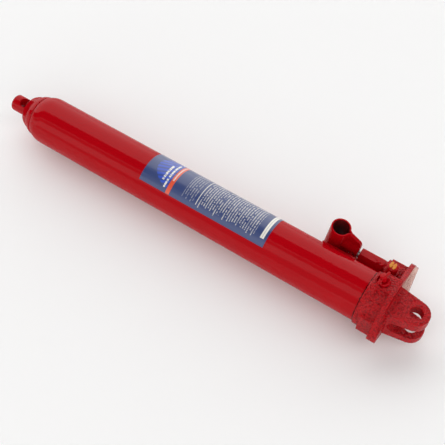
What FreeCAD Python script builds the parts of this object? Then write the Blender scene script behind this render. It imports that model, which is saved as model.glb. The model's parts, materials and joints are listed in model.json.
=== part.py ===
import FreeCAD, Part
import math
import os

import Sketcher

# Long-stroke hydraulic ram with a built-in hand pump, as used on a small folding workshop crane.
# Frame: the origin is the centre of the clevis bore, +X runs along the ram towards the rod end,
# +Z runs along the clevis bore, and the pump lies beside the ram on -Y.

Vector = FreeCAD.Vector
document = FreeCAD.newDocument("long_ram")

# ---------------------------------------------------------------- driving dimensions (mm)
DIMENSIONS = {
    # clevis and base casting
    "eye_radius": 8.2,
    "nose_radius": 18.0,
    "ear_top": 25.0,
    "ear_bottom": 21.5,
    "clevis_gap": 19.0,
    "clevis_root": 24.0,
    "flange_back": 31.0,
    "flange_front": 38.0,
    "flange_core": 39.5,
    "collar_radius": 36.5,
    "collar_back": 55.0,
    "collar_front": 65.0,
    "body_radius": 35.0,
    "side_pad": 38.5,
    "side_pad_half": 16.0,
    # main ram
    "tube_radius": 34.0,
    "tube_wall": 3.0,
    "tube_seat": 58.0,
    "shoulder_start": 568.0,
    "shoulder_end": 584.0,
    "shoulder_radius": 29.5,
    "cap_end": 595.0,
    "cap_front_radius": 25.0,
    "cylinder_radius": 19.0,
    "piston_radius": 15.0,
    "rod_radius": 12.0,
    "cylinder_seat": 60.0,
    "gland_thread": 16.5,
    "gland_depth": 22.0,
    "nut_flats": 41.0,
    "nut_end": 605.0,
    "rod_eye_place": 614.5,
    "rod_eye_radius": 7.7,
    "rod_end": 634.0,
    "piston_back": 66.0,
    "piston_length": 24.0,
    # hand pump
    "pump_offset": 50.4,
    "pump_boss_radius": 13.0,
    "pump_boss_front": 63.5,
    "plunger_radius": 5.0,
    "barrel_flats": 18.0,
    "barrel_end": 99.5,
    "fulcrum_place": 113.0,
    "fulcrum_drop": 22.0,
    "fulcrum_radius": 3.5,
    "wrist_radius": 3.0,
    "socket_outer": 13.0,
    "socket_inner": 11.0,
    "socket_place": 26.3,
    "socket_top": 54.5,
    "socket_bottom": -4.0,
    "cheek_gap": 10.6,
    "cheek_sheet": 2.5,
    "rest_tilt": 7.0,
    # valves
    "valve_place": 53.0,
    "release_place": 50.0,
    "release_offset": 8.5,
    "release_foot": 37.0,
    "release_tilt": 20.0,
    "release_pad": 38.5,
    "relief_offset": 40.0,
    "check_ball": 2.8,
    "inlet_place": 48.5,
    "delivery_place": 38.0,
    # clearances
    "running_gap": 0.04,
    "seat_gap": 0.05,
}

sheet = document.addObject("Spreadsheet::Sheet", "dims")
for row, (alias, number) in enumerate(DIMENSIONS.items(), start=1):
    sheet.set(f"A{row}", str(number))
    sheet.setAlias(f"A{row}", alias)
document.recompute()


class Size:
    """A length together with the expression that ties it to the sheet."""

    def __init__(self, value, text):
        self.value = float(value)
        self.text = text

    def __add__(self, other):
        other = size(other)
        return Size(self.value + other.value, f"({self.text} + {other.text})")

    def __sub__(self, other):
        other = size(other)
        return Size(self.value - other.value, f"({self.text} - {other.text})")

    def __mul__(self, factor):
        factor = size(factor)
        return Size(self.value * factor.value, f"({self.text} * {factor.text})")

    def __truediv__(self, factor):
        return Size(self.value / factor, f"({self.text} / {float(factor)})")

    def __neg__(self):
        return Size(-self.value, f"(0 - {self.text})")

    def __radd__(self, other):
        return size(other) + self

    def __rsub__(self, other):
        return size(other) - self


def size(number):
    """Wrap a plain number so that it mixes with sheet values."""
    if isinstance(number, Size):
        return number
    return Size(number, f"({float(number)})")


class Sheet:
    """Every alias of the sheet as an attribute."""

    def __init__(self, table):
        for alias, number in table.items():
            setattr(self, alias, Size(number, f"dims.{alias}"))


D = Sheet(DIMENSIONS)

# ---------------------------------------------------------------- building helpers
TURN_X = FreeCAD.Rotation(Vector(0, 1, 0), 90)
LEAN = FreeCAD.Rotation(Vector(0, 1, 0), DIMENSIONS["release_tilt"])
ROTATION_FROM_Z = {
    "X": TURN_X,
    "Y": FreeCAD.Rotation(Vector(1, 0, 0), -90),
    "Z": FreeCAD.Rotation(),
    "release": LEAN,
}
ROTATION_FROM_X = {
    "X": FreeCAD.Rotation(),
    "Y": FreeCAD.Rotation(Vector(0, 0, 1), 90),
    "Z": FreeCAD.Rotation(Vector(0, 1, 0), -90),
    "release": LEAN * FreeCAD.Rotation(Vector(0, 1, 0), -90),
}


def bind(thing, field, amount):
    """Drive one length of an object from the sheet."""
    thing.setExpression(field, size(amount).text)


def place(thing, at, rotation):
    """Put an object's own origin at a point given in sheet values."""
    point = [size(amount) for amount in at]
    thing.Placement = FreeCAD.Placement(Vector(*[amount.value for amount in point]), rotation)
    for letter, amount in zip("xyz", point):
        bind(thing, f"Placement.Base.{letter}", amount)
    return thing


def cylinder(name, radius, length, at, axis):
    """A solid cylinder that starts at a point and runs along +axis."""
    made = document.addObject("Part::Cylinder", name)
    bind(made, "Radius", radius)
    bind(made, "Height", length)
    return place(made, at, ROTATION_FROM_Z[axis])


def block(name, length, width, height, at):
    """A box from its lowest corner."""
    made = document.addObject("Part::Box", name)
    bind(made, "Length", length)
    bind(made, "Width", width)
    bind(made, "Height", height)
    return place(made, at, FreeCAD.Rotation())


def hexagon(name, flats, length, at, turn):
    """A hexagonal bar along +X; turn 30 lays two flats level."""
    made = document.addObject("Part::Prism", name)
    made.Polygon = 6
    bind(made, "Circumradius", size(flats) / math.sqrt(3))
    bind(made, "Height", length)
    return place(made, at, TURN_X * FreeCAD.Rotation(Vector(0, 0, 1), turn))


def fuse(name, *pieces):
    """One solid from several."""
    made = document.addObject("Part::MultiFuse", name)
    made.Shapes = list(pieces)
    made.Refine = True
    return made


def cut(name, base, *tools):
    """The base with every tool taken out of it."""
    made = document.addObject("Part::Cut", name)
    made.Base = base
    made.Tool = tools[0] if len(tools) == 1 else fuse(name + "_tools", *tools)
    made.Refine = True
    return made


def common(name, first, second):
    """What two solids share."""
    made = document.addObject("Part::MultiCommon", name)
    made.Shapes = [first, second]
    return made


def origin_plane(body, role):
    """One of a body's own origin planes."""
    return [feature for feature in body.Origin.OriginFeatures if feature.Role == role][0]


def new_sketch(body, name, role="XY_Plane"):
    """An empty sketch on one of the body's origin planes."""
    sketch = body.newObject("Sketcher::SketchObject", name)
    sketch.AttachmentSupport = (origin_plane(body, role), [""])
    sketch.MapMode = "FlatFace"
    return sketch


def pin_point(sketch, geometry, position, across, up):
    """Fix a sketch point at two distances from the sketch origin."""
    for kind, amount, axis in (("DistanceX", size(across), -2), ("DistanceY", size(up), -1)):
        if amount.value == 0:
            sketch.addConstraint(Sketcher.Constraint("PointOnObject", geometry, position, axis))
            continue
        index = sketch.addConstraint(
            Sketcher.Constraint(kind, -1, 1, geometry, position, amount.value))
        sketch.setExpression(f"Constraints[{index}]", amount.text)


def arc_between(start, end, bend):
    """An arc of radius |bend| between two points: positive bulges to the right of the way."""
    middle = (start + end) / 2
    chord = end - start
    reach = math.sqrt(bend * bend - chord.Length ** 2 / 4)
    left = Vector(-chord.y, chord.x, 0).normalize()
    centre = middle + left * math.copysign(reach, bend)
    from_angle = math.atan2(start.y - centre.y, start.x - centre.x)
    to_angle = math.atan2(end.y - centre.y, end.x - centre.x)
    if bend < 0:
        from_angle, to_angle = to_angle, from_angle
    if to_angle < from_angle:
        to_angle += 2 * math.pi
    return Part.ArcOfCircle(Part.Circle(centre, Vector(0, 0, 1), abs(bend)), from_angle, to_angle)


def draw_outline(sketch, outline):
    """A closed outline of (x, y) points; (x, y, bend) reaches its point by an arc."""
    points = [Vector(size(entry[0]).value, size(entry[1]).value, 0) for entry in outline]
    count = len(outline)
    ends = []
    for index in range(count):
        after = (index + 1) % count
        entry = outline[after]
        if len(entry) == 2:
            geometry = sketch.addGeometry(Part.LineSegment(points[index], points[after]))
            ends.append((geometry, 1, 2))
            continue
        bend = size(entry[2])
        geometry = sketch.addGeometry(arc_between(points[index], points[after], bend.value))
        ends.append((geometry, 1, 2) if bend.value > 0 else (geometry, 2, 1))
        fixed = sketch.addConstraint(Sketcher.Constraint("Radius", geometry, abs(bend.value)))
        sketch.setExpression(f"Constraints[{fixed}]", bend.text if bend.value > 0 else (-bend).text)
    for index in range(count):
        before = ends[index - 1]
        here = ends[index]
        sketch.addConstraint(
            Sketcher.Constraint("Coincident", before[0], before[2], here[0], here[1]))
        pin_point(sketch, here[0], here[1], outline[index][0], outline[index][1])


def turned(label, at, axis, outline):
    """A turned piece: (distance along the axis, radius) points revolved about the axis."""
    body = document.addObject("PartDesign::Body", label)
    sketch = new_sketch(body, label + "_profile")
    draw_outline(sketch, outline)
    spun = body.newObject("PartDesign::Revolution", label + "_turned")
    spun.Profile = sketch
    spun.ReferenceAxis = (sketch, ["H_Axis"])
    spun.Angle = 360
    return place(body, at, ROTATION_FROM_X[axis])


def ring(label, inner, outer, length, at, axis):
    """A plain turned ring."""
    return turned(label, at, axis, [(0, inner), (length, inner), (length, outer), (0, outer)])


def hull_edges(circles):
    """Tangent angles of the outline stretched round circles listed anticlockwise."""
    angles = []
    for index, (across, up, radius) in enumerate(circles):
        next_across, next_up, next_radius = circles[(index + 1) % len(circles)]
        step = Vector((next_across - across).value, (next_up - up).value, 0)
        slope = (radius - next_radius).value / step.Length
        angles.append(math.atan2(step.y, step.x) - math.acos(slope))
    return angles


def draw_hull(sketch, circles):
    """The outline of a band stretched round circles, as arcs joined by tangent lines."""
    circles = [tuple(size(amount) for amount in circle) for circle in circles]
    leave = hull_edges(circles)
    count = len(circles)
    arcs = []
    for index, (across, up, radius) in enumerate(circles):
        enter = leave[index - 1]
        finish = leave[index]
        while finish < enter:
            finish += 2 * math.pi
        round_edge = Part.Circle(Vector(across.value, up.value, 0), Vector(0, 0, 1), radius.value)
        arcs.append(sketch.addGeometry(Part.ArcOfCircle(round_edge, enter, finish)))
    for index in range(count):
        following = (index + 1) % count
        start = sketch.getPoint(arcs[index], 2)
        end = sketch.getPoint(arcs[following], 1)
        line = sketch.addGeometry(Part.LineSegment(start, end))
        sketch.addConstraint(Sketcher.Constraint("Tangent", arcs[index], 2, line, 1))
        sketch.addConstraint(Sketcher.Constraint("Tangent", line, 2, arcs[following], 1))
    for arc, (across, up, radius) in zip(arcs, circles):
        pin_point(sketch, arc, 3, across, up)
        fixed = sketch.addConstraint(Sketcher.Constraint("Radius", arc, radius.value))
        sketch.setExpression(f"Constraints[{fixed}]", radius.text)


def hull_plate(name, circles, thickness, at, rotation, taper=0):
    """A plate whose outline is stretched round circles."""
    body = document.addObject("PartDesign::Body", name)
    sketch = new_sketch(body, name + "_outline")
    draw_hull(sketch, circles)
    pad = body.newObject("PartDesign::Pad", name + "_pad")
    pad.Profile = sketch
    bind(pad, "Length", thickness)
    pad.TaperAngle = taper
    return place(body, at, rotation)


def coil(label, mean_radius, wire_radius, height, turns, at):
    """A compression spring along +Z, as one round wire wound on a helix."""
    path = Part.makeHelix(height / turns, height, mean_radius)
    start = Vector(mean_radius, 0, 0)
    section = Part.Wire([Part.makeCircle(wire_radius, start, Vector(0, 1, 0))])
    made = document.addObject("Part::Feature", label)
    made.Shape = Part.Wire(path.Edges).makePipeShell([section], True, True)
    made.Placement = FreeCAD.Placement(Vector(*[size(amount).value for amount in at]),
                                       FreeCAD.Rotation())
    return made


# The plate outlines below are drawn in (y, z) and stand across the ram.
ACROSS = FreeCAD.Rotation(Vector(1, 1, 1), 120)
PUMP = -D.pump_offset
ALIGNED = FreeCAD.Rotation()
parts = []


def keep(*made):
    """List finished sub-parts for checking and writing."""
    parts.extend(made)


# ---------------------------------------------------------------- base casting
def casting_solid():
    """Collar, end flange, pump boss, valve pads and clevis ears as cast."""
    core = D.flange_core
    wing = (-54, 0, 18.5)
    toe = (38, 0, 12)
    collar = turned("casting_collar", (0, 0, 0), "X", [
        (D.flange_back, 0), (D.collar_front, 0), (D.collar_front, D.collar_radius - 1),
        (D.collar_front - 1, D.collar_radius), (D.collar_back, D.collar_radius),
        (D.collar_back - 3, D.body_radius), (D.flange_back, D.body_radius)])
    flange = hull_plate("casting_flange", [toe, (0, 0, core), wing, (0, 0, core)],
                        D.flange_front - D.flange_back, (D.flange_back, 0, 0), ACROSS)
    slant = FreeCAD.Rotation(Vector(0, 0, 1), 7) * ACROSS
    heel = hull_plate("casting_heel", [(0, 0, 20), (-30, 0, 18)], 10, (D.flange_back - 9.4, -24, 0), slant)
    toe_pad = hull_plate("casting_toe", [(38, 0, 12), (20, 0, 20)], 8, (D.flange_back - 5, 0, 0), ACROSS)
    boss = cylinder("casting_pump_boss", D.pump_boss_radius, D.pump_boss_front - D.flange_back,
                    (D.flange_back, PUMP, 0), "X")
    valve_block = block("casting_valve_block", 29, 34, 30, (D.flange_back, -61, -18))
    relief_boss = cylinder("casting_relief_boss", 9.5, 17, (D.valve_place, -D.relief_offset, 0), "Z")
    release_boss = cylinder("casting_release_boss", 13.2, D.release_pad - 20,
                            (D.release_place - 1.5, -D.release_offset - 1, 20), "Z")
    release_land = block("casting_release_land", D.release_place - 1.5 - D.flange_back, 26.4,
                         D.release_pad - 20, (D.flange_back, -D.release_offset - 14.2, 20))
    side_pad = block("casting_side_pad", 18.5, D.side_pad, D.side_pad_half * 2,
                     (D.flange_front, 0, -D.side_pad_half))
    ears = hull_plate("casting_ears", [(36, -22, 2), (36, 22, 2), (0.5, 0, D.nose_radius)],
                      D.ear_top + D.ear_bottom, (0, 0, -D.ear_bottom), ALIGNED)
    return fuse("casting_solid", collar, flange, heel, toe_pad, boss, valve_block, relief_boss,
                release_boss, release_land, side_pad, ears)


def along_release(height):
    """A point on the leaning axis of the release valve, measured up from its spot face."""
    lean = math.radians(DIMENSIONS["release_tilt"])
    return (D.release_place + height * math.sin(lean), -D.release_offset,
            D.release_foot + height * math.cos(lean))


def casting_sockets():
    """Clevis slot and eye, the seats of the two ram tubes and the pump barrel."""
    half_gap = D.clevis_gap / 2
    slot_end = D.clevis_root - half_gap
    slot = block("clevis_slot", slot_end + 20, 60, D.clevis_gap, (-20, -30, -half_gap))
    slot_root = cylinder("clevis_slot_root", half_gap, 60, (slot_end, -30, 0), "Y")
    eye = cylinder("clevis_eye", D.eye_radius, 60, (0, 0, -30), "Z")
    tube_seat = cylinder("tube_seat", D.tube_radius + D.seat_gap, 10, (D.tube_seat, 0, 0), "X")
    gasket_groove = ring("gasket_groove", D.tube_radius - D.tube_wall - 0.1,
                         D.tube_radius + D.seat_gap, 2.1, (D.tube_seat - 2, 0, 0), "X")
    return slot, slot_root, eye, tube_seat, gasket_groove


def casting_drillings():
    """Machined bores and oil ways."""
    seat = D.cylinder_seat - 1.5
    low = -8
    return (
        cylinder("cylinder_seat", D.cylinder_radius + D.seat_gap, 20, (seat, 0, 0), "X"),
        cylinder("ram_port", 2.5, seat - D.delivery_place + 1, (D.delivery_place, 0, low), "X"),
        cylinder("pressure_gallery", 2, 64, (D.delivery_place, -63, low), "Y"),
        cylinder("gallery_mouth", 3.05, 8, (D.delivery_place, -64, low), "Y"),
        cylinder("pump_passage", 2, 20, (D.delivery_place, PUMP, 0), "X"),
        cylinder("barrel_seat", 6.55, 20, (D.valve_place, PUMP, 0), "X"),
        cylinder("inlet_chamber", 4, 13, (D.inlet_place, PUMP, -9.5), "Z"),
        cylinder("inlet_plug_seat", 5.05, 12, (D.inlet_place, PUMP, -21), "Z"),
        cylinder("suction_cross", 1.5, 26, (D.inlet_place, PUMP, -13), "Y"),
        cylinder("suction_port", 1.8, 10, (D.inlet_place, -25, -13), "X"),
        cylinder("delivery_throat", 1.8, 5, (D.delivery_place, PUMP, -4.5), "Z"),
        cylinder("delivery_chamber", 4, 10, (D.delivery_place, PUMP, -14), "Z"),
        cylinder("delivery_plug_seat", 4.55, 8, (D.delivery_place, PUMP, -21), "Z"),
        cylinder("relief_bore", 4.05, 22, (D.valve_place, -D.relief_offset, -2), "Z"),
        cylinder("relief_throat", 1.2, 7, (D.valve_place, -D.relief_offset, low), "Z"),
        cylinder("relief_feed", 1.5, 15, (D.delivery_place, -D.relief_offset, low), "X"),
        cylinder("release_spot_face", 8.4, 12, along_release(0), "release"),
        cylinder("release_gland_seat", 6.05, 8, along_release(-6.5), "release"),
        cylinder("release_bore", 4.2, 14, along_release(-13), "release"),
        cylinder("release_throat", 1.5, 23, along_release(-35), "release"),
        cylinder("release_feed", 1.5, 13, (D.delivery_place, -D.release_offset, low), "Z"),
        cylinder("release_return", 1.5, 13, (46, -D.release_offset, 27.5), "X"),
    )


def base_casting():
    """The finished casting with the threaded hub that holds the pressure cylinder."""
    machined = cut("casting_machined", casting_solid(), *casting_sockets())
    hub = cylinder("casting_hub", 22, 14, (D.tube_seat - 0.5, 0, 0), "X")
    with_hub = fuse("casting_with_hub", machined, hub)
    keep(cut("base_casting", with_hub, *casting_drillings()))


# ---------------------------------------------------------------- reservoir, cylinder and gland
def reservoir():
    """Outer tube with its rolled shoulder, filler plug, label and the seals at both ends."""
    inner = D.tube_radius - D.tube_wall
    lip = D.shoulder_radius - D.tube_wall
    shell = turned("reservoir_shell", (0, 0, 0), "X", [
        (D.tube_seat, inner), (D.shoulder_start, inner), (D.shoulder_end, lip, 28),
        (D.shoulder_end, D.shoulder_radius), (D.shoulder_start, D.tube_radius, 30),
        (D.tube_seat, D.tube_radius)])
    filler = (D.shoulder_start - 28, 0, -D.tube_radius - 3)
    keep(cut("reservoir_tube", shell, cylinder("filler_hole", 5, 8, filler, "Z")))
    keep(turned("filler_plug", filler, "Z", [
        (0, 0), (6.4, 0), (6.4, 4.6), (3, 4.9), (2.9, 8), (1, 8), (0, 7)]))
    keep(ring("reservoir_gasket", inner, D.tube_radius, 1.9, (D.tube_seat - 1.95, 0, 0), "X"))
    band = document.addObject("Part::Cylinder", "label_sector")
    bind(band, "Radius", D.tube_radius + 0.17)
    bind(band, "Height", 192)
    band.Angle = 122
    place(band, (202, 0, 0), TURN_X * FreeCAD.Rotation(Vector(0, 0, 1), 133))
    keep(cut("label", band, cylinder("label_back", D.tube_radius + 0.02, 200, (200, 0, 0), "X")))


def ram_cylinder():
    """Pressure cylinder, its copper gasket, top cap, gland nut and the rod's bush and seals."""
    bore = D.piston_radius
    counterbore = D.cap_end - D.gland_depth
    keep(turned("pressure_cylinder", (0, 0, 0), "X", [
        (D.cylinder_seat, bore), (counterbore, bore), (counterbore, D.gland_thread + D.seat_gap),
        (D.cap_end - 0.2, D.gland_thread + D.seat_gap), (D.cap_end - 0.2, D.cylinder_radius),
        (D.cylinder_seat, D.cylinder_radius)]))
    keep(ring("cylinder_gasket", bore, D.cylinder_radius, 1.4, (D.cylinder_seat - 1.45, 0, 0), "X"))
    spigot = D.shoulder_radius - D.tube_wall - 0.1
    back = D.shoulder_end - 8
    face = D.shoulder_end + 0.5
    keep(turned("top_cap", (0, 0, 0), "X", [
        (back, D.cylinder_radius + D.seat_gap), (D.cap_end, D.cylinder_radius + D.seat_gap),
        (D.cap_end, D.cap_front_radius), (face + 1, D.shoulder_radius, 22), (face, D.shoulder_radius - 1),
        (face, spigot), (back + 5.2, spigot), (back + 5.2, spigot - 2), (back + 2.8, spigot - 2),
        (back + 2.8, spigot), (back, spigot)]))
    keep(ring("top_cap_seal", spigot - 1.9, spigot + 0.05, 2.2, (back + 2.9, 0, 0), "X"))
    gland(counterbore)


def gland(counterbore):
    """Hexagon gland nut with a threaded shank, guide bush, rod seal and wiper."""
    rod = D.rod_radius
    head = hexagon("gland_hexagon", D.nut_flats, D.nut_end - D.cap_end, (D.cap_end, 0, 0), 0)
    corners = turned("gland_corners", (0, 0, 0), "X", [
        (D.cap_end, 0), (D.nut_end, 0), (D.nut_end, 20), (D.nut_end - 3.5, 24), (D.cap_end, 24)])
    shank = cylinder("gland_shank", D.gland_thread, D.gland_depth, (counterbore, 0, 0), "X")
    solid = fuse("gland_solid", common("gland_head", head, corners), shank)
    bores = turned("gland_bores", (0, 0, 0), "X", [
        (counterbore - 1, 0), (D.nut_end + 1, 0), (D.nut_end + 1, 15), (D.nut_end - 4, 15),
        (D.nut_end - 4, rod + 0.4), (counterbore + 20, rod + 0.4), (counterbore + 20, 15),
        (counterbore + 14.6, 15), (counterbore + 14.6, 14.05), (counterbore - 1, 14.05)])
    keep(cut("gland_nut", solid, bores))
    gap = D.running_gap
    keep(ring("rod_guide_bush", rod + gap, 14, 14, (counterbore + 0.2, 0, 0), "X"))
    keep(ring("rod_seal", rod + gap, 14.95, 5, (counterbore + 14.8, 0, 0), "X"))
    keep(turned("rod_wiper", (D.nut_end - 3.9, 0, 0), "X", [
        (0, rod + 0.3), (3, rod + 0.3), (4.6, rod + gap), (4.6, rod + 1), (3.9, 14.95), (0, 14.95)]))


# ---------------------------------------------------------------- ram
def ram():
    """Piston rod with its pin eye, and the piston built up on its tail."""
    rod = D.rod_radius
    tail = 8
    back = D.piston_back
    front = back + D.piston_length - 2
    shaft = turned("rod_shaft", (0, 0, 0), "X", [
        (back - 4, 0), (D.rod_end, 0), (D.rod_end, rod - 3), (D.rod_end - 3, rod, 3),
        (front, rod), (front, tail), (back - 3, tail), (back - 4, tail - 1)])
    eye = cylinder("rod_eye", D.rod_eye_radius, 30, (D.rod_eye_place, 0, -15), "Z")
    keep(cut("piston_rod", shaft, eye))
    bore = D.piston_radius
    groove = front - 5.6
    keep(turned("piston", (0, 0, 0), "X", [
        (front - 8, tail + 0.02), (front, tail + 0.02), (front, bore - 1), (front - 1, bore - 0.1),
        (groove + 3.2, bore - 0.1), (groove + 3.2, bore - 2), (groove, bore - 2),
        (groove, bore - 0.1), (front - 8, bore - 0.1)]))
    keep(ring("piston_guide_ring", bore - 1.95, bore - 0.05, 3, (groove + 0.1, 0, 0), "X"))
    keep(turned("piston_cup_seal", (0, 0, 0), "X", [
        (front - 15.9, tail + 4), (front - 11, tail + 4), (front - 11, tail + 0.05),
        (front - 8.1, tail + 0.05), (front - 8.1, bore - 0.3), (front - 15.9, bore - 0.05)]))
    keep(turned("piston_washer", (0, 0, 0), "X", [
        (front - 19, tail + 0.02), (front - 11.1, tail + 0.02), (front - 11.1, tail + 3.9),
        (front - 16.1, tail + 3.9), (front - 16.1, bore - 0.6), (front - 19, bore - 0.6)]))
    nut = hexagon("piston_nut_hexagon", 24, 5.9, (back - 3, 0, 0), 0)
    keep(cut("piston_nut", nut, cylinder("piston_nut_thread", tail + 0.02, 10, (back - 5, 0, 0), "X")))


# ---------------------------------------------------------------- hand pump
def pump_barrel():
    """Hexagonal pump barrel screwed into the casting, its washer, seals and set screw."""
    start = D.pump_boss_front + 1.5
    length = D.barrel_end - start
    bar = hexagon("barrel_hexagon", D.barrel_flats, length, (start, PUMP, 0), 30)
    ends = turned("barrel_ends", (start, PUMP, 0), "X", [
        (0, 0), (length, 0), (length, 9.3), (length - 1, 10.3), (3.5, 10.3), (0, 8.4)])
    shank = cylinder("barrel_shank", 6.5, start - D.valve_place, (D.valve_place + 0.2, PUMP, 0), "X")
    solid = fuse("barrel_solid", common("barrel_bar", bar, ends), shank)
    bore = cylinder("barrel_bore", D.plunger_radius + D.running_gap, 60, (D.valve_place - 2, PUMP, 0), "X")
    pocket = cylinder("barrel_pocket", 6.75, 8, (D.barrel_end - 5, PUMP, 0), "X")
    screw_at = (73.4, PUMP + 3, 6.4)
    screw_hole = cylinder("barrel_screw_hole", 1.65, 6, screw_at, "Z")
    keep(cut("pump_barrel", solid, bore, pocket, screw_hole))
    keep(turned("barrel_set_screw", screw_at, "Z", [
        (0, 0), (4.5, 0), (4.3, 1), (3.8, 1.8), (3.1, 2.4), (2.67, 2.5), (2.67, 1.6), (0, 1.6)]))
    keep(ring("barrel_washer", 6.7, 9.2, 1.4, (D.pump_boss_front + 0.05, PUMP, 0), "X"))
    inner = D.plunger_radius + D.running_gap
    keep(ring("pump_seal", inner, 6.7, 2.6, (D.barrel_end - 4.95, PUMP, 0), "X"))
    keep(ring("pump_wiper", inner, 6.7, 2.1, (D.barrel_end - 2.2, PUMP, 0), "X"))


def pump_plunger():
    """Plunger with its cross pin and clip, at the depth set by the handle's rest tilt."""
    lean = math.tan(math.radians(D.rest_tilt.value))
    wrist = D.fulcrum_place - D.fulcrum_drop * lean
    tip = wrist + 7
    plunger = turned("plunger_shaft", (0, PUMP, 0), "X", [
        (56, 0), (tip, 0), (tip, D.plunger_radius - 1.5), (tip - 1.5, D.plunger_radius),
        (57, D.plunger_radius), (56, D.plunger_radius - 1)])
    hole = cylinder("plunger_hole", D.wrist_radius + D.running_gap, 20, (wrist, PUMP - 10, 0), "Y")
    keep(cut("pump_plunger", plunger, hole))
    keep(pin("plunger_pin", (wrist, PUMP - 10.3, 0), D.wrist_radius, 18.3, 1.4, 4.6, 1.3))
    keep(ring("plunger_pin_clip", D.wrist_radius - 0.45, 5, 0.8, (wrist, PUMP - 8.95, 0), "Y"))


def pin(label, at, radius, length, head, head_radius, groove):
    """A headed pin along +Y with a clip groove near its plain end."""
    return turned(label, at, "Y", [
        (0, 0), (length + head, 0), (length + head, head_radius - 0.5), (length + head - 0.5, head_radius),
        (length, head_radius), (length, radius), (groove + 0.9, radius), (groove + 0.9, radius - 0.5),
        (groove, radius - 0.5), (groove, radius), (0.5, radius), (0, radius - 0.5)])


def handle_socket():
    """Lever socket: a tube with two cheeks, drawn upright about the fulcrum, then tilted."""
    cheek_outer = D.cheek_gap / 2 + D.cheek_sheet
    upright = FreeCAD.Rotation(Vector(1, 0, 0), 90)
    height = D.socket_top - D.socket_bottom
    tube = cylinder("socket_tube", D.socket_outer, height, (D.socket_place, 0, D.socket_bottom), "Z")
    cheeks = hull_plate("socket_cheeks", [(0, 0, 7), (20, 1, 4), (14, 50, 4), (-3, 43, 4)],
                        cheek_outer * 2, (0, cheek_outer, 0), upright)
    gap_end = D.socket_place - D.socket_outer - 0.8
    gap = block("socket_gap", gap_end + 12, D.cheek_gap, 80, (-12, -D.cheek_gap / 2, -12))
    bore = cylinder("socket_bore", D.socket_inner, height + 4, (D.socket_place, 0, D.socket_bottom - 2), "Z")
    fulcrum = cylinder("socket_fulcrum", D.fulcrum_radius + D.running_gap, 30, (0, -15, 0), "Y")
    slot = hull_plate("socket_slot", [(0, D.fulcrum_drop - 0.6, D.wrist_radius + 0.6),
                                      (0, D.fulcrum_drop + 3.8, D.wrist_radius + 0.6)],
                      30, (0, 15, 0), upright)
    made = cut("handle_socket", fuse("socket_solid", tube, cheeks), gap, bore, fulcrum, slot)
    tilt = FreeCAD.Rotation(Vector(0, 1, 0), -D.rest_tilt.value)
    keep(place(made, (D.fulcrum_place, PUMP, -D.fulcrum_drop), tilt))


def fulcrum_bracket():
    """Plate welded along the reservoir tube with two lugs that carry the fulcrum pin."""
    upright = FreeCAD.Rotation(Vector(1, 0, 0), 90)
    cheek_outer = D.cheek_gap / 2 + D.cheek_sheet
    lug = 3
    near = cheek_outer + 0.35
    plate_face = -D.tube_radius - 0.1
    plate = block("bracket_plate", 48.5, 2.8, 26, (99.5, plate_face - 2.8, -16.5))
    web = block("bracket_web", 18, 2.8, 20, (D.fulcrum_place - 9, plate_face - 2.8, -34))
    floor = block("bracket_floor", 13, plate_face - PUMP + near + lug, 3,
                  (D.fulcrum_place - 9, PUMP - near - lug, -34))
    outline = [(-7, -9, 2), (7, -9, 2), (0, 0, 7)]
    lugs = [hull_plate(f"bracket_lug_{side}", outline, lug,
                       (D.fulcrum_place, PUMP + offset, -D.fulcrum_drop), upright)
            for side, offset in (("near", near + lug), ("far", -near))]
    solid = fuse("bracket_solid", plate, web, floor, *lugs)
    hole = cylinder("bracket_hole", D.fulcrum_radius + 0.02, 27, (D.fulcrum_place, PUMP - 14, -D.fulcrum_drop), "Y")
    keep(cut("fulcrum_bracket", solid, hole))
    keep(pin("fulcrum_pin", (D.fulcrum_place, PUMP - 14, -D.fulcrum_drop), D.fulcrum_radius, 25.3, 1.5, 5.5, 1.2))
    keep(ring("fulcrum_pin_clip", D.fulcrum_radius - 0.45, 6, 0.8, (D.fulcrum_place, PUMP - 12.75, -D.fulcrum_drop), "Y"))


# ---------------------------------------------------------------- valves
def check_valves():
    """Suction and delivery balls with their springs, seat plug, closing plug and strainer."""
    ball = D.check_ball
    seat_drop = math.sqrt(ball.value ** 2 - 1.8 ** 2)
    seat = turned("inlet_seat_solid", (D.inlet_place, PUMP, -18), "Z", [
        (-2, 0), (9, 0), (9, 4.4), (8.4, 5), (0, 5), (0, 7), (-1.4, 7), (-2, 6.4)])
    keep(cut("inlet_seat_plug", seat,
             cylinder("inlet_seat_bore", 1.8, 8, (D.inlet_place, PUMP, -14), "Z"),
             cylinder("inlet_seat_cross", 1.5, 12, (D.inlet_place, PUMP - 1, -13), "Y")))
    keep(sphere("inlet_ball", ball, (D.inlet_place, PUMP, -9 + seat_drop + 0.02)))
    keep(coil("inlet_spring", 2.5, 0.35, 6.2, 5, (D.inlet_place, PUMP, -3.2)))
    keep(sphere("delivery_ball", ball, (D.delivery_place, PUMP, -4.02 - seat_drop)))
    keep(coil("delivery_spring", 2.3, 0.35, 3.2, 3, (D.delivery_place, PUMP, -12.7)))
    keep(turned("delivery_plug", (D.delivery_place, PUMP, -18), "Z", [
        (2, 0), (4.6, 0), (4.6, 3.9), (4, 4.5), (0.7, 4.5), (0.2, 4), (0.2, 2.2), (2, 2.2)]))
    keep(turned("gallery_plug", (D.delivery_place, -61, -8), "Y", [(0, 0), (4.8, 0), (4.8, 3), (0, 3)]))
    keep(turned("suction_strainer", (D.tube_seat + 0.1, -25, -13), "X", [
        (0, 2.2), (3.5, 2.2), (3.5, 0), (4, 0), (4, 2.6), (0, 2.6)]))


def sphere(label, radius, at):
    """A ball centred on a point."""
    made = document.addObject("Part::Sphere", label)
    bind(made, "Radius", radius)
    return place(made, at, FreeCAD.Rotation())


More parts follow.
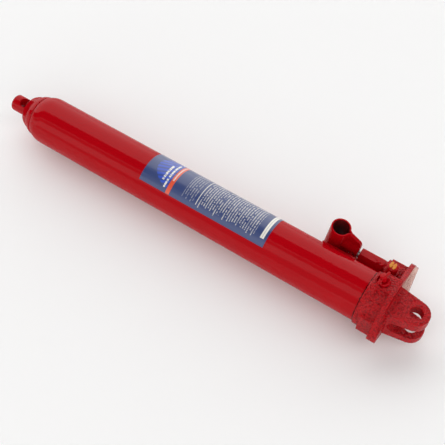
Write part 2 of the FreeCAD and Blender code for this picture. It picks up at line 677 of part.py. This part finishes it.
def relief_valve():
    """Factory-set overload valve under its round cap."""
    across = (D.valve_place, -D.relief_offset)
    keep(sphere("overload_ball", 2.2, (*across, -0.13)))
    keep(coil("overload_spring", 2.5, 0.4, 6.0, 5, (*across, 3.1)))
    keep(turned("overload_adjuster", (*across, 10), "Z", [(0, 0), (12, 0), (12, 3), (11, 3.95), (0, 3.95)]))
    keep(turned("overload_cap", (*across, 17.1), "Z", [
        (0, 4.3), (6.5, 4.3), (6.5, 0), (13.2, 0), (12.8, 4), (11, 6.8), (10.4, 7), (0.6, 7), (0, 6.6)]))


def release_valve():
    """Release screw with its tommy bar, gland ring, O-ring and steel ball, all on a leaning axis."""
    foot = along_release(0)
    keep(turned("release_gland", foot, "release", [
        (-6, 4.25), (3, 4.25), (3, 6.9), (2.4, 7.7), (0.1, 7.7), (0.1, 6), (-6, 6)]))
    keep(sphere("release_ball", 2.5, along_release(-10.98)))
    stem = turned("release_stem", foot, "release", [
        (-8.45, 0), (13.2, 0), (12.9, 2.6), (12.2, 3.7), (11, 4), (5, 3.9), (4.4, 3.2), (1, 3.2), (1, 4),
        (-1.5, 4), (-1.5, 3.1), (-3.5, 3.1), (-3.5, 4), (-7, 4), (-8.45, 2.4)])
    level = 8
    bar_way = LEAN * FreeCAD.Rotation(Vector(0, 0, 1), -15)
    keep(cut("release_screw", stem, across_release("release_bar_hole", bar_way, level, 14, 1.87)))
    bar = turned("release_tommy_bar", (0, 0, 0), "Y", [
        (0, 0), (22, 0), (22, 1.3), (21.4, 1.85), (0.6, 1.85), (0, 1.3)])
    start = along_bar(bar_way, level, 11)
    keep(place(bar, start, bar_way * ROTATION_FROM_X["Y"]))
    keep(ring("release_o_ring", 3.15, 4.1, 1.8, along_release(-3.4), "release"))


def along_bar(bar_way, level, reach):
    """Where something of half length reach starts, crossing the release valve at a level."""
    back = bar_way.multVec(Vector(0, -reach, 0))
    return tuple(amount + step for amount, step in zip(along_release(level), back))


def across_release(name, bar_way, level, length, radius):
    """A cylinder through the release valve, square to its axis."""
    made = document.addObject("Part::Cylinder", name)
    bind(made, "Radius", radius)
    bind(made, "Height", length)
    return place(made, along_bar(bar_way, level, length / 2), bar_way * ROTATION_FROM_Z["Y"])


base_casting()
reservoir()
ram_cylinder()
ram()
pump_barrel()
pump_plunger()
handle_socket()
fulcrum_bracket()
check_valves()
relief_valve()
release_valve()
document.recompute()

# ---------------------------------------------------------------- checks and files
for thing in document.Objects:
    if "Invalid" in thing.State or "Error" in thing.State:
        raise RuntimeError(f"{thing.Label} failed: {thing.State}")
for thing in parts:
    if thing.Shape.isNull() or not thing.Shape.isValid():
        raise RuntimeError(f"{thing.Label} has no valid shape")

os.makedirs("parts", exist_ok=True)
for thing in parts:
    thing.Shape.exportStep(f"parts/{thing.Label}.step")
    limits = thing.Shape.BoundBox
    print(f"{thing.Label:20s} solids {len(thing.Shape.Solids)} volume {thing.Shape.Volume:10.1f}"
          f"  x {limits.XMin:7.2f} {limits.XMax:7.2f}  y {limits.YMin:7.2f} {limits.YMax:7.2f}"
          f"  z {limits.ZMin:7.2f} {limits.ZMax:7.2f}")
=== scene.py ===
import json
import math

import bmesh
import bpy
from mathutils import Matrix, Vector, noise

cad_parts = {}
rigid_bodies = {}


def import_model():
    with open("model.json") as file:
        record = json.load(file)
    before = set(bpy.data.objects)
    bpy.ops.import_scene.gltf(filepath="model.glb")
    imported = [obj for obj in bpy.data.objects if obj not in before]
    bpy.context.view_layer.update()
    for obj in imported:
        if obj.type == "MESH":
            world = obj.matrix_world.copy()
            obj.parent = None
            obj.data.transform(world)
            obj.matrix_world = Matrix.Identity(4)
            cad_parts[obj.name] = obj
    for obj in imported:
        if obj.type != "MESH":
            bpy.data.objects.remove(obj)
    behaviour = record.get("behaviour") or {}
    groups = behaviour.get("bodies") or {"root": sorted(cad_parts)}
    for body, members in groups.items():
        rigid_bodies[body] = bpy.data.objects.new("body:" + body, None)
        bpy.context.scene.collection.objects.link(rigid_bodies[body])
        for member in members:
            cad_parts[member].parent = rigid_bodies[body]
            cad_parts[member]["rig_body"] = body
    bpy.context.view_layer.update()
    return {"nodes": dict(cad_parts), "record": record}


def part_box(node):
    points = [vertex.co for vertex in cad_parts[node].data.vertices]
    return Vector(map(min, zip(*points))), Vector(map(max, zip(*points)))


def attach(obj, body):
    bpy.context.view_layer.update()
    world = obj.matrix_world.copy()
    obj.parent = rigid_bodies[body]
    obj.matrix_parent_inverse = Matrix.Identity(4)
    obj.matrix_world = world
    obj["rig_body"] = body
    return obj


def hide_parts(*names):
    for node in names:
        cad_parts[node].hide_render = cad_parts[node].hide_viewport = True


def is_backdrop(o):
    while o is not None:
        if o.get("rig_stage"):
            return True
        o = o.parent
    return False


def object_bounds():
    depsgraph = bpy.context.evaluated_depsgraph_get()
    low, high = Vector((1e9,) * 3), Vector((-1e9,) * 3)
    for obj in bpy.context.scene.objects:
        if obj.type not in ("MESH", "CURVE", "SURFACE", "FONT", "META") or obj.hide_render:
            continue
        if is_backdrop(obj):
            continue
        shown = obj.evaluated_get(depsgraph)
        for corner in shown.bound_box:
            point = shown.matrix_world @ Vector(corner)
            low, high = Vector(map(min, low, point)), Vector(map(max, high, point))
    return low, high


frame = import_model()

MM = 0.001
scene = bpy.context.scene
nodes = frame["nodes"]


# ---------------------------------------------------------------- camera and light
def aim_camera():
    """Looks down on the ram from beside its valves, with the rod end far and to the left."""
    lens = bpy.data.cameras.new("camera")
    lens.lens = 68.76
    lens.sensor_width = 36
    lens.clip_start = 0.05
    lens.clip_end = 20
    camera = bpy.data.objects.new("camera", lens)
    scene.collection.objects.link(camera)
    forward = Vector((0.298, -0.4773, -0.8267)).normalized()
    right = Vector((-0.8329, -0.5531, 0.0191)).normalized()
    up = right.cross(forward).normalized()
    right = forward.cross(up)
    axes = Matrix((right, up, -forward)).transposed().to_4x4()
    camera.matrix_world = Matrix.Translation((-0.0588, 0.5387, 0.9198)) @ axes
    scene.camera = camera


# ---------------------------------------------------------------- numbers over a surface
class Field:
    """A number over a surface, worked out by math nodes in one node tree."""

    def __init__(self, tree, socket):
        self.tree = tree
        self.socket = socket

    def math(self, operation, *others, clamp=False):
        made = self.tree.nodes.new("ShaderNodeMath")
        made.operation = operation
        made.use_clamp = clamp
        for index, value in enumerate((self, *others)):
            if isinstance(value, Field):
                self.tree.links.new(value.socket, made.inputs[index])
            else:
                made.inputs[index].default_value = value
        return Field(self.tree, made.outputs[0])

    def __add__(self, other):
        return self.math("ADD", other)

    def __sub__(self, other):
        return self.math("SUBTRACT", other)

    def __mul__(self, other):
        return self.math("MULTIPLY", other)

    def __truediv__(self, other):
        return self.math("DIVIDE", other)

    def above(self, level, soft=0.0001):
        """0 below the level and 1 above it, with a soft step."""
        return ((self - level) / soft + 0.5).math("ADD", 0.0, clamp=True)

    def below(self, level, soft=0.0001):
        return ((self - level) / -soft + 0.5).math("ADD", 0.0, clamp=True)

    def within(self, low, high, soft=0.0001):
        return self.above(low, soft) * self.below(high, soft)

    def floor(self):
        return self.math("FLOOR")

    def part(self):
        return self.math("FRACT")


class Surface:
    """A material under construction: its tree, its shader and its rest coordinates."""

    def __init__(self, name, **values):
        self.material = bpy.data.materials.new(name)
        self.material.use_nodes = True
        self.tree = self.material.node_tree
        self.shader = self.tree.nodes["Principled BSDF"]
        for key, value in values.items():
            self.shader.inputs[key.replace("_", " ").title().replace("Ior", "IOR")].default_value = value
        self.place = self.tree.nodes.new("ShaderNodeTexCoord").outputs["Object"]
        split = self.tree.nodes.new("ShaderNodeSeparateXYZ")
        self.tree.links.new(self.place, split.inputs[0])
        self.x, self.y, self.z = (Field(self.tree, split.outputs[axis]) for axis in "XYZ")

    def noise(self, scale, detail=3.0, roughness=0.5, stretch=(1, 1, 1)):
        made = self.tree.nodes.new("ShaderNodeTexNoise")
        made.inputs["Scale"].default_value = scale
        made.inputs["Detail"].default_value = detail
        made.inputs["Roughness"].default_value = roughness
        self.tree.links.new(self.stretched(stretch), made.inputs["Vector"])
        return Field(self.tree, made.outputs["Fac"])

    def cells(self, scale, feature="F1", stretch=(1, 1, 1)):
        made = self.tree.nodes.new("ShaderNodeTexVoronoi")
        made.feature = feature
        made.inputs["Scale"].default_value = scale
        self.tree.links.new(self.stretched(stretch), made.inputs["Vector"])
        return Field(self.tree, made.outputs["Distance"])

    def stretched(self, stretch):
        if stretch == (1, 1, 1):
            return self.place
        made = self.tree.nodes.new("ShaderNodeMapping")
        made.inputs["Scale"].default_value = stretch
        self.tree.links.new(self.place, made.inputs["Vector"])
        return made.outputs[0]

    def at(self, *place):
        """Noise read at a place made of three fields or numbers."""
        joined = self.tree.nodes.new("ShaderNodeCombineXYZ")
        for index, value in enumerate(place):
            if isinstance(value, Field):
                self.tree.links.new(value.socket, joined.inputs[index])
            else:
                joined.inputs[index].default_value = value
        made = self.tree.nodes.new("ShaderNodeTexNoise")
        made.inputs["Scale"].default_value = 1.0
        made.inputs["Detail"].default_value = 1.0
        self.tree.links.new(joined.outputs[0], made.inputs["Vector"])
        return Field(self.tree, made.outputs["Fac"])

    def mix(self, mask, first, second):
        """First colour where the mask is 0, second where it is 1."""
        made = self.tree.nodes.new("ShaderNodeMix")
        made.data_type = "RGBA"
        self.tree.links.new(mask.socket, made.inputs["Factor"])
        for socket, colour in ((made.inputs["A"], first), (made.inputs["B"], second)):
            if isinstance(colour, bpy.types.NodeSocket):
                self.tree.links.new(colour, socket)
            else:
                socket.default_value = (*colour, 1)
        return made.outputs["Result"]

    def colour(self, socket):
        self.tree.links.new(socket, self.shader.inputs["Base Color"])

    def drive(self, name, field):
        self.tree.links.new(field.socket, self.shader.inputs[name])

    def bump(self, height, distance, strength=1.0):
        """Relief from a height field, distance in metres for a height of 1."""
        made = self.tree.nodes.new("ShaderNodeBump")
        made.inputs["Distance"].default_value = distance
        made.inputs["Strength"].default_value = strength
        self.tree.links.new(height.socket, made.inputs["Height"])
        self.tree.links.new(made.outputs[0], self.shader.inputs["Normal"])
        if self.shader.inputs["Coat Weight"].default_value > 0:
            self.tree.links.new(made.outputs[0], self.shader.inputs["Coat Normal"])


# ---------------------------------------------------------------- materials
RED = (0.405, 0.0010, 0.005)
DARK_RED = (0.17, 0.0004, 0.003)
# Darker red used as painted shade inside the lever socket.
DULL_RED = (0.36, 0.012, 0.014)
SHADED_INNER_RED = (0.16, 0.004, 0.005)
BARE = (0.30, 0.28, 0.27)


def enamel():
    """Sprayed gloss enamel: orange peel, scuffs, dust nibs, and a ragged near-black line of painted shade on
    the tube where it meets the casting.
    """
    made = Surface("red_enamel", roughness=0.3, specular_ior_level=0.0, coat_weight=0.5,
                   coat_roughness=0.05, coat_ior=1.36)
    film = made.noise(22, 4)
    scuff = made.noise(60, 5, 0.7, (1, 7, 7)).above(0.66, 0.05)
    tint = made.mix(film.above(0.55, 0.5), RED, (0.38, 0.0010, 0.005))
    painted = made.mix(scuff * 0.3, tint, DULL_RED)
    # Painted shade: a ragged near-black line on the tube just beside the casting's collar, where the crevice
    # between the parts lies in shade.
    ragged = made.x + made.noise(260, 3, 0.6) * 0.0034
    round_ram = (made.y * made.y + made.z * made.z).below(0.0355 ** 2, 0.00004)
    made.colour(made.mix(ragged.within(0.0661, 0.0673, 0.0003) * round_ram, painted, (0.02, 0.0004, 0.001)))
    made.drive("Roughness", film * 0.10 + scuff * 0.18 + 0.20)
    peel = made.noise(330, 2, 0.4)
    nibs = made.cells(170).below(0.06, 0.05)
    made.bump(peel * 0.5 + made.noise(70, 2) * 1.6 + nibs * 0.35, 0.00008, 0.8)
    return made.material


def cast_enamel():
    """The same enamel over a sand casting, pooled between grains, with a pale pink painted highlight on the
    heel's back face.
    """
    made = Surface("red_cast_enamel", roughness=0.3, specular_ior_level=0.0, coat_weight=0.6,
                   coat_roughness=0.08, coat_ior=1.36)
    grain = made.noise(520, 3, 0.6)
    pits = made.cells(500, "SMOOTH_F1")
    pooled = pits.above(0.48, 0.3)
    chips = (made.noise(95, 5, 0.65).above(0.70, 0.02) * made.noise(700, 2).above(0.5, 0.1))
    tint = made.mix(pooled * 0.75, (0.44, 0.004, 0.008), DARK_RED)
    painted = made.mix(chips * 0.25, tint, (0.24, 0.03, 0.03))
    # Heel's back face: a pale pink painted highlight with paler specks, also rougher there.
    heel = made.x.below(0.0312, 0.0006) * made.y.below(-0.0225, 0.002) * made.z.above(0.0128, 0.002)
    speckle = made.noise(900, 4, 0.7).above(0.47, 0.2)
    heel_painted_highlight = made.mix(speckle, (0.46, 0.20, 0.17), (0.74, 0.52, 0.46))
    made.colour(made.mix(heel, painted, heel_painted_highlight))
    made.drive("Roughness", grain * 0.25 + heel * 0.4 + 0.14)
    made.bump(grain * 0.6 + pits * 1.6, 0.0009, 0.9)
    return made.material


def inner_enamel_painted_shade():
    """Dull enamel down the inside of the lever socket, coloured a darker red as painted shade, with still
    darker streaks.
    """
    made = Surface("red_inner_painted_shade", roughness=0.6, specular_ior_level=0.1)
    streaks = made.noise(140, 4, 0.6, (1, 1, 0.2))
    # Painted shade: the socket's inside is coloured a darker red, with still darker streaks.
    made.colour(made.mix(streaks.above(0.5, 0.4), SHADED_INNER_RED, (0.05, 0.0015, 0.003)))
    made.drive("Roughness", streaks * 0.3 + 0.45)
    made.bump(streaks, 0.0001, 0.6)
    return made.material


def label_print():
    """A wrapped label: navy ground, bright stripes, an orange ring, rows of illegible dashes."""
    made = Surface("label_print", roughness=0.35, coat_weight=0.5, coat_roughness=0.12)
    low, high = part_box("label")
    across = made.y.math("ARCTAN2", made.z) * (180 / math.pi)
    along = (made.x * -1 + high.x) / (high.x - low.x)
    navy, white = (0.030, 0.052, 0.17), (0.78, 0.76, 0.70)
    bright, orange = (0.030, 0.085, 0.52), (0.72, 0.085, 0.035)

    fan_reach = (along - 0.26) * (along - 0.26) * 26 + (across + 12) * (across + 12) * 0.00042
    fan = fan_reach.below(1.0, 0.05) * along.within(0.035, 0.212, 0.002)
    stripes = ((along * 1.9 + across * 0.0135) * 7).part().above(0.42, 0.12)
    ground = made.mix(fan * (stripes * 0.75 + 0.25), navy, bright)

    ring_band = along.within(0.216, 0.247, 0.001)
    ground = made.mix(ring_band, ground, orange)
    ticks = ((across * 0.42).part().above(0.35, 0.1) * across.within(-48, 14)
             * along.within(0.225, 0.235, 0.002))
    bars = (across.within(-22, 22, 0.5) * along.within(0.150, 0.166, 0.002)
            + across.within(-38, 36, 0.5) * along.within(0.184, 0.198, 0.002))
    words = made.at(across * 0.34, (along * 61).floor() * 3.7, 0.0).above(0.42, 0.06)
    bars = bars * words

    row = along * 58
    row_line = row.part().within(0.30, 0.70, 0.15)
    row_number = row.floor()
    letters = made.at(across * 1.15, row_number * 7.3, 2.0).above(0.44, 0.12)
    word_gap = made.at(across * 0.22, row_number * 5.1, 9.0).above(0.40, 0.05)
    row_end = made.at(row_number * 0.83, 4.0, 1.0) * 60 + 2
    inside = (across * -1 + row_end).above(0, 0.5) * across.above(-66, 1)
    small = along.within(0.335, 0.435, 0.001) * 0.55 + along.within(0.470, 0.905, 0.001)
    print_rows = row_line * letters * word_gap * inside * small * 0.72
    rule = along.within(0.449, 0.455, 0.001) * across.within(-62, 36, 0.6)
    wide = along.within(0.952, 0.980, 0.001) * across.within(-68, 30, 0.6)
    wide = wide * (along.within(0.964, 0.967, 0.001) * -0.5 + 1)
    ink = (ticks + bars + print_rows + rule * 0.8 + wide).math("MINIMUM", 1.0)
    printed = made.mix(ink, ground, white)
    edge = across.above(45.6, 0.3) + across.below(-73.5, 0.3)
    made.colour(made.mix(edge.math("MINIMUM", 1.0) * 0.5, printed, (0.02, 0.03, 0.1)))
    wrinkle = made.noise(45, 3, 0.5, (1, 2, 2))
    made.drive("Roughness", made.noise(30, 3) * 0.12 + 0.26)
    made.bump(wrinkle + made.noise(600, 1) * 0.06, 0.00012, 0.5)
    return made.material


def machined(name, colour, shine, streak=(1, 30, 30)):
    """Turned steel: fine tool marks, faint staining."""
    made = Surface(name, roughness=shine, metallic=1.0)
    marks = made.noise(260, 3, 0.6, streak)
    stain = made.noise(55, 4)
    darker = tuple(part * 0.55 for part in colour)
    made.colour(made.mix(stain.above(0.58, 0.3) * 0.6, colour, darker))
    made.drive("Roughness", marks * 0.25 + shine)
    made.bump(marks, 0.00003, 0.6)
    return made.material


def moulded(name, colour, shine):
    """Rubber or seal plastic: matt skin with fine grain and a little dust."""
    made = Surface(name, roughness=shine)
    dust = made.noise(120, 5, 0.7).above(0.62, 0.1)
    paler = tuple(min(1, part * 1.5 + 0.04) for part in colour)
    made.colour(made.mix(dust * 0.5, colour, paler))
    made.drive("Roughness", made.noise(400, 2) * 0.2 + shine - 0.1)
    made.bump(made.noise(1500, 2), 0.00004, 0.5)
    return made.material


def marker_paint():
    """Thick yellow inspection paint, dabbed on by brush."""
    made = Surface("marker_paint", roughness=0.45)
    thick = made.noise(500, 3)
    made.colour(made.mix(thick.above(0.5, 0.3), (0.58, 0.16, 0.010), (0.68, 0.27, 0.015)))
    made.drive("Roughness", thick * 0.3 + 0.3)
    made.bump(thick, 0.0002, 0.7)
    return made.material


def floor_paint():
    """Plain pale studio floor."""
    made = Surface("pale_floor", roughness=0.9)
    mottle = made.noise(3, 2)
    made.colour(made.mix(mottle, (0.930, 0.935, 0.945), (0.942, 0.947, 0.957)))
    made.shader.inputs["Specular IOR Level"].default_value = 0.1
    return made.material


def dress(piece, material):
    piece.data.materials.clear()
    piece.data.materials.append(material)


# ---------------------------------------------------------------- meshes
def new_piece(name, mesh):
    piece = bpy.data.objects.new(name, mesh)
    scene.collection.objects.link(piece)
    return piece


def from_bmesh(name, made):
    mesh = bpy.data.meshes.new(name)
    made.to_mesh(mesh)
    made.free()
    return new_piece(name, mesh)


def settle(piece):
    """Turns a piece's modifiers into plain mesh."""
    bpy.context.view_layer.update()
    graph = bpy.context.evaluated_depsgraph_get()
    mesh = bpy.data.meshes.new_from_object(piece.evaluated_get(graph))
    piece.modifiers.clear()
    piece.data = mesh
    return piece


def smooth(piece):
    for polygon in piece.data.polygons:
        polygon.use_smooth = True
    return piece


def copy_of(node, name):
    """A welded copy of a CAD node's mesh, as a new piece."""
    made = bmesh.new()
    made.from_mesh(nodes[node].data)
    bmesh.ops.remove_doubles(made, verts=made.verts, dist=2e-6)
    return from_bmesh(name, made)


def softened(node, name, voxel, passes, relief=None):
    """A CAD node with every edge rounded, as castings and welded plates are."""
    piece = copy_of(node, name)
    cells = piece.modifiers.new("cells", "REMESH")
    cells.mode = "VOXEL"
    cells.voxel_size = voxel
    rounding = piece.modifiers.new("rounding", "SMOOTH")
    rounding.factor = 0.5
    rounding.iterations = passes
    settle(piece)
    if relief:
        normals = [vertex.normal.copy() for vertex in piece.data.vertices]
        for vertex, normal in zip(piece.data.vertices, normals):
            vertex.co += normal * relief(vertex.co, normal)
    smooth(piece)
    return stand_for(piece, node)


def bevelled(node, name, width, angle=28):
    """A CAD node with its sharp edges broken."""
    piece = copy_of(node, name)
    made = bmesh.new()
    made.from_mesh(piece.data)
    bmesh.ops.dissolve_limit(made, angle_limit=math.radians(1.0), verts=made.verts, edges=made.edges)
    made.to_mesh(piece.data)
    made.free()
    edge = piece.modifiers.new("edge", "BEVEL")
    edge.width = width
    edge.segments = 3
    edge.limit_method = "ANGLE"
    edge.angle_limit = math.radians(angle)
    edge.use_clamp_overlap = True
    edge.harden_normals = True
    smooth(piece)
    settle(piece)
    return stand_for(piece, node)


def stand_for(piece, node):
    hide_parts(node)
    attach(piece, nodes[node]["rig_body"])
    return piece


def cast_relief(place, normal):
    """Pebbled sand-cast skin, with a patch of raised specks on top of the collar."""
    pebble = noise.noise(place * 480) * 0.6 + noise.noise(place * 1000) * 0.3
    lumps = noise.noise(place * 90)
    along = smoothstep((place.x - 0.041) / 0.003) * smoothstep((0.058 - place.x) / 0.002)
    across = smoothstep((place.y - 0.006) / 0.003) * smoothstep((0.023 - place.y) / 0.003)
    marked = along * across * (place.z > 0.02)
    specks = smoothstep((noise.noise(place * 330 + Vector((3, 1, 7))) - 0.02) / 0.25) * marked
    return (pebble * 0.26 + lumps * 0.14 + specks * 0.9 - 0.28) * MM


def weld_relief(place, normal):
    return (noise.noise(place * 160) * 0.12 - 0.08) * MM


def bead(name, start, end, radius, body, bulge):
    """A run of weld between two points: overlapping ripples of uneven width."""
    made = bmesh.new()
    start, end = Vector(start), Vector(end)
    way = (end - start).normalized()
    side = way.cross(Vector(bulge)).normalized()
    out = side.cross(way).normalized()
    steps = max(12, int((end - start).length / 0.0004))
    rings = []
    for index in range(steps + 1):
        share = index / steps
        place = start.lerp(end, share)
        ripple = 1 + 0.10 * math.cos(share * (end - start).length / 0.0019 * math.tau)
        width = radius * ripple * (1 + 0.16 * noise.noise(place * 210))
        width *= min(1, 0.35 + 6 * min(share, 1 - share))
        rings.append([made.verts.new(place + side * math.cos(turn) * width + out * math.sin(turn) * width)
                      for turn in (math.tau * step / 14 for step in range(14))])
    for first, second in zip(rings, rings[1:]):
        for step in range(14):
            after = (step + 1) % 14
            made.faces.new((first[step], first[after], second[after], second[step]))
    made.faces.new(reversed(rings[0]))
    made.faces.new(rings[-1])
    bmesh.ops.recalc_face_normals(made, faces=made.faces)
    piece = smooth(from_bmesh(name, made))
    dress(piece, materials["red_paint"])
    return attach(piece, body)


# ---------------------------------------------------------------- lever socket
def socket_sheet():
    """One sheet wrapped into a tube, its two ends left as cheeks and pinched at the top corner."""
    low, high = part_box("handle_socket")
    tilt = math.radians(7)
    turn = Matrix.Rotation(-tilt, 3, "Y")
    radius, centre = 12.0, 26.3

    def half_gap(x, z):
        """Half the space between the cheeks' middle surfaces."""
        pinch = smoothstep((z - 29) / 13) * smoothstep((17 - x) / 10 + 0.35)
        return 6.45 + (1.15 - 6.45) * pinch

    def edges(x):
        """Lowest and highest point of the sheet at a distance from the fulcrum."""
        if x >= 14:
            return -4.0, 54.5
        if x < 0:
            bottom = -math.sqrt(max(0.0, 49 - x * x))
        else:
            bottom = -7 + x * 0.22
        top = 47.6 + (x + 4) * 0.40
        if x < -3.4:
            top = 47.6 - (-3.4 - x) ** 2 * 0.45
        blend = smoothstep((x - 11) / 3)
        return bottom + (-4.0 - bottom) * blend, top + (54.5 - top) * blend

    columns = [("flat", -6.98 + 20.9 * smooth_start(step / 22)) for step in range(22)]
    columns += [("round", math.radians(4 + 176 * step / 52)) for step in range(53)]
    rows = 64
    made = bmesh.new()
    grid = []
    for side in (1, -1):
        listed = columns if side == 1 else list(reversed(columns[:-1]))
        for kind, value in listed:
            strip = []
            for row in range(rows + 1):
                share = row / rows
                x = value if kind == "flat" else centre - radius * math.cos(value)
                bottom, top = edges(x)
                z = bottom + (top - bottom) * share
                ring_y = 0.0 if kind == "flat" else radius * math.sin(value)
                if kind == "round" and value > math.pi / 2:
                    y = ring_y
                else:
                    y = soft_max(half_gap(x, z), ring_y, 1.1)
                place = turn @ (Vector((x, side * y, z)) * MM) + fulcrum
                strip.append(made.verts.new(place))
            grid.append(strip)
    for first, second in zip(grid, grid[1:]):
        for row in range(rows):
            made.faces.new((first[row], second[row], second[row + 1], first[row + 1]))
    bmesh.ops.recalc_face_normals(made, faces=made.faces)
    piece = from_bmesh("socket_sheet", made)
    wall = piece.modifiers.new("wall", "SOLIDIFY")
    wall.thickness = 2.0 * MM
    wall.offset = 0
    wall.use_even_offset = True
    settle(piece)
    for name, across, lift in (("fulcrum", 3.7, (0,)), ("wrist", 3.7, (21.0, 22.2, 23.4, 24.6, 25.8))):
        for height in lift:
            drill(piece, name, turn @ (Vector((0, 0, height)) * MM) + fulcrum, across * MM)
    rim = piece.modifiers.new("rim", "BEVEL")
    rim.width = 0.45 * MM
    rim.segments = 2
    rim.limit_method = "ANGLE"
    rim.angle_limit = math.radians(50)
    settle(piece)
    smooth(piece)
    dress(piece, materials["red_paint"])
    piece.data.materials.append(inner_enamel_painted_shade())
    middle = turn @ (Vector((centre, 0, 0)) * MM) + fulcrum
    axis = turn @ Vector((0, 0, 1))
    # Faces turned inward inside the socket take the painted-shade material.
    for polygon in piece.data.polygons:
        arm = polygon.center - middle
        arm -= axis * arm.dot(axis)
        if arm.length < 11.6 * MM and polygon.normal.dot(arm) < -0.3 * arm.length:
            polygon.material_index = 1
    return stand_for(piece, "handle_socket")


def smoothstep(value):
    value = min(1.0, max(0.0, value))
    return value * value * (3 - 2 * value)


def smooth_start(value):
    return value ** 0.8


def soft_max(first, second, softness):
    gap = max(softness - abs(first - second), 0.0) / softness
    return max(first, second) + gap * gap * softness * 0.25


def drill(piece, name, place, radius):
    """Cuts a round hole along Y through a piece."""
    made = bmesh.new()
    bmesh.ops.create_cone(made, cap_ends=True, segments=40, radius1=radius, radius2=radius, depth=0.05,
                          matrix=Matrix.Translation(place) @ Matrix.Rotation(math.pi / 2, 4, "X"))
    tool = from_bmesh(f"{name}_drill", made)
    hole = piece.modifiers.new("hole", "BOOLEAN")
    hole.operation = "DIFFERENCE"
    hole.solver = "EXACT"
    hole.object = tool
    settle(piece)
    bpy.data.objects.remove(tool)


# ---------------------------------------------------------------- small details
# Each brush stroke on the overload cap: its middle from the cap's, then its half width and half length.
PAINT_STROKES = (
    (Vector((-0.0021, 0.0002, 0)), (0.0022, 0.0049)),
    (Vector((0.0024, -0.0004, 0)), (0.0021, 0.0046)),
)
PAINT_DEPTH = 0.00016


def paint_dabs():
    """Two strokes of marker paint on the overload cap."""
    low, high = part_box("overload_cap")
    centre = (low + high) / 2
    made = bmesh.new()
    for shift, reach in PAINT_STROKES:
        middle = made.verts.new((centre.x + shift.x, centre.y + shift.y, high.z + PAINT_DEPTH))
        rings = []
        for ring_step in range(1, 6):
            share = ring_step / 5
            strip = []
            for step in range(40):
                turn = math.tau * step / 40
                seed = Vector((math.cos(turn) * 1.7, math.sin(turn) * 1.7, shift.x * 900))
                ragged = 1 + 0.22 * noise.noise(seed)
                x = centre.x + shift.x + math.cos(turn) * reach[0] * share * ragged
                y = centre.y + shift.y + math.sin(turn) * reach[1] * share * ragged
                height = high.z + PAINT_DEPTH * (1 - share ** 3) - (0.00002 if ring_step == 5 else 0)
                strip.append(made.verts.new((x, y, height)))
            rings.append(strip)
        for step in range(40):
            made.faces.new((middle, rings[0][step], rings[0][(step + 1) % 40]))
        for first, second in zip(rings, rings[1:]):
            for step in range(40):
                after = (step + 1) % 40
                made.faces.new((first[step], second[step], second[after], first[after]))
    bmesh.ops.recalc_face_normals(made, faces=made.faces)
    piece = smooth(from_bmesh("cap_paint_dabs", made))
    dress(piece, marker_paint())
    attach(piece, "base")


def weld_beads():
    """Runs of weld under the fulcrum bracket's plate, either side of its lugs, and along the lugs' feet."""
    low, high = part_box("fulcrum_bracket")
    tube_side = -0.0341
    plate_foot = -0.0165
    lug_foot = -0.0312
    y, z = tube_side + 0.0008, plate_foot + 0.0012
    for name, start, end in (("left", low.x + 0.003, fulcrum.x - 0.0095),
                             ("right", fulcrum.x + 0.0095, high.x - 0.003)):
        bead(f"weld_lower_{name}", (start, y, z), (end, y, z), 0.0013, "base", (0, -1, -1))
    for name, reach in (("near", 0.01115), ("far", -0.01115)):
        y = fulcrum.y + reach
        bead(f"weld_lug_{name}", (0.1050, y, lug_foot), (0.1165, y, lug_foot), 0.0009, "base", (0, 1, 1))


def floor():
    low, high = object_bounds()
    made = bmesh.new()
    bmesh.ops.create_grid(made, x_segments=8, y_segments=8, size=6)
    piece = from_bmesh("floor", made)
    piece.location = (0.3, 0, low.z - 0.0004)
    dress(piece, floor_paint())
    piece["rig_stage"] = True


def studio():
    """A white tent with a dark slot overhead and a half-dark panel beside it, both running along the ram."""
    world = bpy.data.worlds.new("tent")
    world.use_nodes = True
    scene.world = world
    tree = world.node_tree
    background = tree.nodes["Background"]
    way = tree.nodes.new("ShaderNodeTexCoord").outputs["Generated"]
    split = tree.nodes.new("ShaderNodeSeparateXYZ")
    tree.links.new(way, split.inputs[0])
    x, y, z = (Field(tree, split.outputs[axis]) for axis in "XYZ")
    round_ram = y.math("ARCTAN2", z) * (180 / math.pi) - (x - 0.22) * 72
    slot = round_ram.within(-20, 17, 6) + round_ram.within(19, 33, 3) * 0.85
    shade = round_ram.within(33, 60, 6) * 0.2 + round_ram.within(60, 92, 7) * 0.75
    level = slot * -0.98 + shade * -1 + 1.0
    tree.links.new((level * 1.85).socket, background.inputs["Strength"])
    background.inputs["Color"].default_value = (1, 0.99, 0.975, 1)


fulcrum = Vector(next(joint["pos_m"] for joint in frame["record"]["behaviour"]["joints"]
                      if joint["name"] == "handle_pivot"))
scene.view_settings.view_transform = "Standard"
materials = {
    "red_cast": cast_enamel(),
    "red_paint": enamel(),
    "label_film": label_print(),
    "steel": machined("machined_steel", (0.56, 0.56, 0.57), 0.22),
    "ball_steel": machined("ball_steel", (0.72, 0.72, 0.74), 0.08, (8, 8, 8)),
    "spring_steel": machined("spring_steel", (0.33, 0.33, 0.35), 0.3),
    "copper": machined("copper", (0.72, 0.34, 0.2), 0.28),
    "bronze": machined("bronze", (0.6, 0.44, 0.2), 0.35),
    "rubber": moulded("nitrile", (0.022, 0.022, 0.024), 0.6),
    "seal_plastic": moulded("seal_plastic", (0.05, 0.12, 0.32), 0.45),
}
for entry in frame["record"]["subparts"]:
    dress(nodes[entry["node"]], materials[entry["material_slot"]])

aim_camera()
studio()
floor()
dress(softened("base_casting", "casting_skin", 0.7 * MM, 4, cast_relief), materials["red_cast"])
dress(softened("fulcrum_bracket", "bracket_welded", 0.45 * MM, 4, weld_relief), materials["red_paint"])
for node, name, width in (("gland_nut", "gland_nut_edges", 0.5), ("pump_barrel", "barrel_edges", 0.35),
                          ("piston_rod", "rod_edges", 0.5), ("top_cap", "top_cap_edges", 0.4)):
    dress(bevelled(node, name, width * MM), materials["red_paint"])
socket_sheet()
paint_dabs()
weld_beads()
